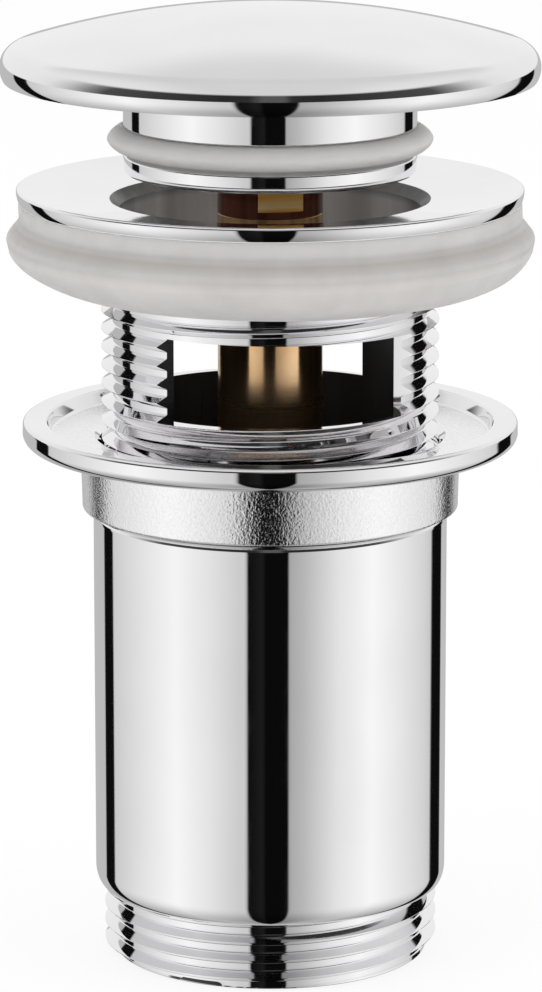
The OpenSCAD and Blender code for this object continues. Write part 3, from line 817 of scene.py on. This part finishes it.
def makeCoreBridge(p):
    top, bandR = p["bottom"] + p["height"], p["outerR"] - p["band"]
    rim = filletOutline([
        (bandR, p["bottom"], p["round"]), (p["outerR"], p["bottom"], p["edge"]),
        (p["outerR"], top, p["edge"]), (bandR, top, p["round"]),
    ], steps=4)
    hub = filletOutline([
        (p["holeR"], p["bottom"], p["holeEdge"]), (p["hubR"], p["bottom"], p["edge"]),
        (p["hubR"], p["hubTop"], p["round"]), (p["holeR"], p["hubTop"], p["holeEdge"]),
    ], steps=4)
    piece = turnPiece("coreBridge", rim, segments=144)
    combine(piece, turnPiece("bridgeHub", hub, segments=96), "UNION")
    for turn in p["armTurns"]:
        low = (p["hubR"] - p["armSink"], -p["armT"] / 2, p["bottom"] + p["armInset"])
        high = (bandR + p["armSink"], p["armT"] / 2, top - p["armInset"])
        arm = blockPiece("bridgeArm", low, high, turn)
        bevel = arm.modifiers.new("round", "BEVEL")
        bevel.width, bevel.segments = p["round"] * mm, 3
        applyModifiers(arm)
        combine(piece, arm, "UNION")
    return piece


finishPiece(makeCoreBridge(coreBridge), "waste_body", [chromeCast], ["core_bridge"])

lockNut = {
    "acrossFlats": 15.0, "bottom": 43.3, "height": 5.0, "holeR": 5.05, "lead": 0.4,
    "chamferIn": 0.25, "chamferDeg": 30,
}


def makeLockNut(p):
    top, lead = p["bottom"] + p["height"], p["lead"]
    faceR = p["acrossFlats"] / 2 - p["chamferIn"]
    cornerR = p["acrossFlats"] / 2 / math.cos(math.pi / 6)
    drop = (cornerR - faceR) * math.tan(math.radians(p["chamferDeg"]))
    outline = [(p["holeR"], p["bottom"] + lead), (p["holeR"] + lead, p["bottom"]), (faceR, p["bottom"]),
               (cornerR, p["bottom"] + drop), (cornerR, top - drop), (faceR, top), (p["holeR"] + lead, top),
               (p["holeR"], top - lead)]
    piece = turnPiece("lockNut", outline, segments=96)
    hexR = cornerR * 1.0001  # clear of the turned corners
    corners = [(hexR * math.cos(math.pi / 3 * k), hexR * math.sin(math.pi / 3 * k)) for k in range(6)]
    points = np.array([(x, y, z) for z in (p["bottom"] - 1, top + 1) for x, y in corners])
    faces = [tuple(range(5, -1, -1)), tuple(range(6, 12))]
    faces += [(k, (k + 1) % 6, (k + 1) % 6 + 6, k + 6) for k in range(6)]
    combine(piece, meshPiece("hexCutter", points * mm, faces), "INTERSECT")
    return piece


finishPiece(makeLockNut(lockNut), "waste_body", [brassTurned], ["core_lock_nut"])

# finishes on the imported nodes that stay

nodeFinish = {
    "plug_lock_washer": steelBright, "core_washer": steelBright, "latch_pin": steelBright,
    "plunger": brassTurned, "guide_bush": brassTurned, "latch_ring": brassTurned,
    "rod_seal": rubberBlack, "tail_seal": rubberBlack,
}
for nodeName, finish in nodeFinish.items():
    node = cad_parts[nodeName]
    node.data.materials.clear()
    node.data.materials.append(finish)
print("packed nodes finished")

# studio: pale floor, soft lamps, a light tent with dark flags that only the chrome sees

studio = {
    "floorSize": 6.0, "floorWhite": 0.86, "floorMottle": 0.01,
    "floorGlow": 0.85,  # the rest of the floor keeps the shadow
    "skyForDiffuse": 0.88, "aim": (0, 0, 0.06),
}


def makeFloor(p):
    half = p["floorSize"] / 2
    points = np.array([(x, y, 0) for y in (-half, half) for x in (-half, half)])
    floor = meshPiece("floor", points, [(0, 1, 3, 2)])
    material, tree, shader = newFinish("floorPale")
    grain = field(tree, 30, detail=2)
    tones = [(0.3, p["floorWhite"] - p["floorMottle"]), (0.7, p["floorWhite"] + p["floorMottle"])]
    tree.links.new(ramp(tree, grain, tones), shader.inputs["Base Color"])
    shader.inputs["Roughness"].default_value = 0.8
    glow = tree.nodes.new("ShaderNodeEmission")
    path = tree.nodes.new("ShaderNodeLightPath")
    share = tree.nodes.new("ShaderNodeMath")
    share.operation = "MULTIPLY"
    share.inputs[1].default_value = p["floorGlow"]
    mix = tree.nodes.new("ShaderNodeMixShader")
    tree.links.new(path.outputs["Is Camera Ray"], share.inputs[0])
    tree.links.new(share.outputs[0], mix.inputs["Fac"])
    tree.links.new(shader.outputs[0], mix.inputs[1])
    tree.links.new(glow.outputs[0], mix.inputs[2])
    tree.links.new(mix.outputs[0], tree.nodes["Material Output"].inputs["Surface"])
    floor.data.materials.append(material)
    floor.visible_glossy = False


makeFloor(studio)

tent = {
    # greys that the chrome sees, by degrees to the right of the camera: low below the horizon, band above it
    "low": [(-180, 0.48), (-139, 0.50), (-138, 0.004), (-125, 0.004), (-124, 0.60), (-100, 0.74), (-64, 0.96),
            (-40, 0.80), (-20, 0.62), (-15.6, 0.62), (-15, 0.003), (-5, 0.012), (-3, 0.003), (11.5, 0.003),
            (12.1, 0.40), (22, 0.49), (45, 0.79), (70, 0.96), (121, 0.67), (130.4, 0.58), (131, 0.004),
            (149, 0.004), (150, 0.53), (180, 0.48)],
    "band": [(-180, 0.85), (-124, 0.81), (-108, 0.76), (-96, 0.55), (-84, 0.25), (-74, 0.07), (-45, 0.04),
             (-20, 0.022), (-9, 0.025), (-3, 0.09), (6, 0.09), (9, 0.025), (20, 0.022), (45, 0.04),
             (74, 0.07), (84, 0.25), (96, 0.55), (108, 0.76), (124, 0.81), (180, 0.85)],
    # overhead, from the back horizon (0) over the top (90) to the camera side (180)
    "over": [(0, 0.85), (20, 0.82), (32, 0.73), (46, 0.65), (70, 0.64), (90, 0.66), (140, 0.66), (180, 0.62)],
    "sideHigh": 0.78, "nadir": 0.5,
    # where one part of the tent fades into the next, as parts of a unit direction
    "horizon": (-0.015, 0.015), "bandTop": (0.48, 0.62), "sides": (0.25, 0.75), "under": (0.3, 0.98),
    "gain": 1.06,  # for what chrome swallows
}


def makeTent(p, lampless):
    world = bpy.data.worlds.new("tent")
    bpy.context.scene.world = world
    world.use_nodes = True
    tree = world.node_tree
    tree.nodes.clear()

    def calculate(operation, *values):
        node = tree.nodes.new("ShaderNodeMath")
        node.operation = operation
        for socket, value in zip(node.inputs, values):
            if isinstance(value, (int, float)):
                socket.default_value = value
            else:
                tree.links.new(value, socket)
        return node.outputs[0]

    def mix(share, a, b):
        node = tree.nodes.new("ShaderNodeMix")
        node.data_type = "RGBA"
        for socket, value in ((node.inputs["Factor"], share), (node.inputs[6], a), (node.inputs[7], b)):
            if isinstance(value, tuple):
                socket.default_value = value
            else:
                tree.links.new(value, socket)
        return node.outputs[2]

    def smooth(value, span):
        node = tree.nodes.new("ShaderNodeMapRange")
        node.interpolation_type = "SMOOTHSTEP"
        node.inputs["From Min"].default_value, node.inputs["From Max"].default_value = span
        tree.links.new(value, node.inputs["Value"])
        return node.outputs["Result"]

    def band(value, stops, low, high):
        share = calculate("DIVIDE", calculate("SUBTRACT", value, math.radians(low)), math.radians(high - low))
        return ramp(tree, share, [((deg - low) / (high - low), grey) for deg, grey in stops])

    place = tree.nodes.new("ShaderNodeTexCoord")
    split = tree.nodes.new("ShaderNodeSeparateXYZ")
    tree.links.new(place.outputs["Generated"], split.inputs[0])
    x, y, z = split.outputs
    azimuth = calculate("ARCTAN2", x, calculate("MULTIPLY", y, -1.0))
    over = calculate("ARCTAN2", z, y)
    behind = calculate("LESS_THAN", over, math.radians(-90))
    wrapped = calculate("ADD", over, calculate("MULTIPLY", behind, 2 * math.pi))
    lowGrey = band(azimuth, p["low"], -180, 180)
    bandGrey = band(azimuth, p["band"], -180, 180)
    overGrey = band(wrapped, p["over"], -90, 270)
    side = smooth(calculate("ABSOLUTE", x), p["sides"])
    high = mix(side, overGrey, (p["sideHigh"],) * 3 + (1,))
    above = mix(smooth(z, p["bandTop"]), bandGrey, high)
    boost = tree.nodes.new("ShaderNodeVectorMath")
    boost.operation = "SCALE"
    boost.inputs["Scale"].default_value = p["gain"]
    down = smooth(calculate("MULTIPLY", z, -1.0), p["under"])
    dim = calculate("SUBTRACT", 1.0, calculate("MULTIPLY", down, 1 - p["nadir"]))
    below = mix(dim, (0, 0, 0, 1), lowGrey)
    tree.links.new(mix(smooth(z, p["horizon"]), below, above), boost.inputs[0])
    seen = boost.outputs[0]
    path = tree.nodes.new("ShaderNodeLightPath")
    lit = mix(path.outputs["Is Glossy Ray"], (lampless,) * 3 + (1,), seen)
    white = calculate("MAXIMUM", path.outputs["Is Camera Ray"], path.outputs["Is Transmission Ray"])
    back = tree.nodes.new("ShaderNodeBackground")
    tree.links.new(mix(white, lit, (1, 1, 1, 1)), back.inputs["Color"])
    output = tree.nodes.new("ShaderNodeOutputWorld")
    tree.links.new(back.outputs[0], output.inputs["Surface"])


makeTent(tent, studio["skyForDiffuse"])

lamps = [  # name, place in m, size in m, watts
    ("keyLamp", (-0.9, -0.7, 1.1), 0.9, 6),
    ("fillLamp", (1.0, -0.5, 0.8), 0.9, 4.5),
    ("topLamp", (0.0, 0.3, 1.4), 1.0, 3),
    ("frontLamp", (0.0, -1.3, 0.22), 0.7, 2.2),
]
for name, place, size, watts in lamps:
    light = bpy.data.lights.new(name, "AREA")
    light.size, light.energy = size, watts
    lamp = bpy.data.objects.new(name, light)
    lamp.location = place
    lamp.rotation_euler = (Vector(studio["aim"]) - Vector(place)).to_track_quat("-Z", "Y").to_euler()
    lamp.visible_glossy = False
    bpy.context.scene.collection.objects.link(lamp)
print("studio lit")

view = {"place": (0.0001, -0.629, 0.199), "downDeg": 12.63, "lens": 187.4, "sensor": 36.0, "clip": (0.01, 20)}
camera = bpy.data.objects.new("camera", bpy.data.cameras.new("camera"))
camera.location = view["place"]
camera.rotation_euler = (math.radians(90 - view["downDeg"]), 0, 0)
camera.data.lens, camera.data.sensor_width = view["lens"], view["sensor"]
camera.data.clip_start, camera.data.clip_end = view["clip"]
bpy.context.scene.collection.objects.link(camera)
bpy.context.scene.camera = camera
bpy.context.scene.view_settings.view_transform = "Standard"
